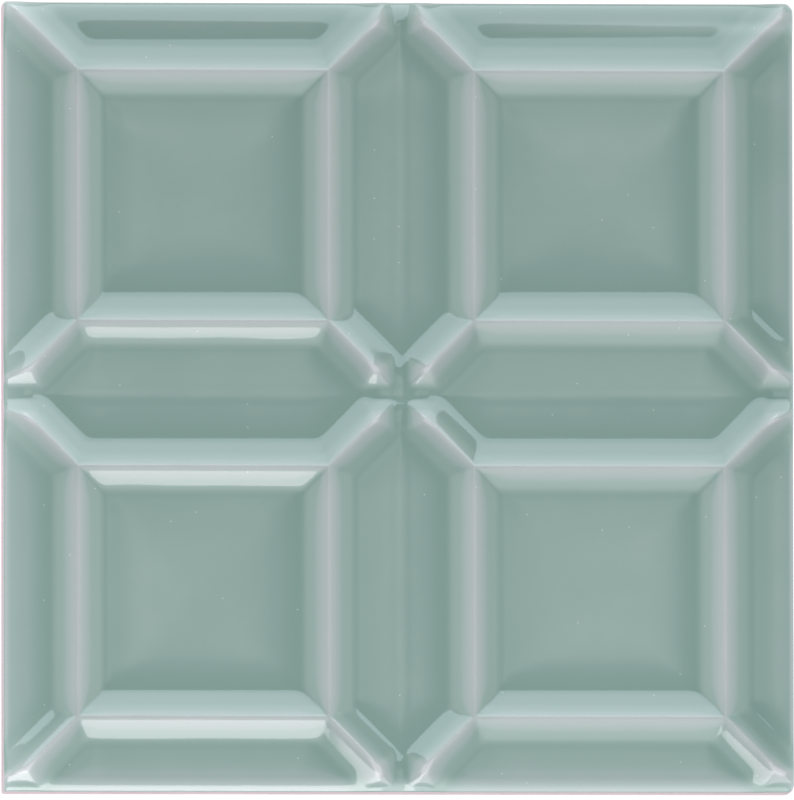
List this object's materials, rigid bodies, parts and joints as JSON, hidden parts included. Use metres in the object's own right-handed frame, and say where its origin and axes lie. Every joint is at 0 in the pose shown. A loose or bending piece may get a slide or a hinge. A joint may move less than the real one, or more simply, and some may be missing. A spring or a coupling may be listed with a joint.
{
  "type": "decorative edge tile",
  "caption": "Square glazed ceramic wall tile moulded with raised square frames and diagonal ridges that enclose sunken square and elongated hexagonal panels.",
  "frame": {"origin": "middle of the back face, on the plane that the tile is bedded on", "axes": "+Z out of the glazed face, which is up; +X to the right and +Y up the face as it is hung"},
  "size_m": [0.1484, 0.1484, 0.0106],
  "materials": {
    "glaze": "gloss translucent sea-green glaze over a pale pinkish biscuit, which is bare on the sides and back"
  },
  "bodies": {
    "root": {"relief_tile": "glaze"}
  },
  "joints": []
}
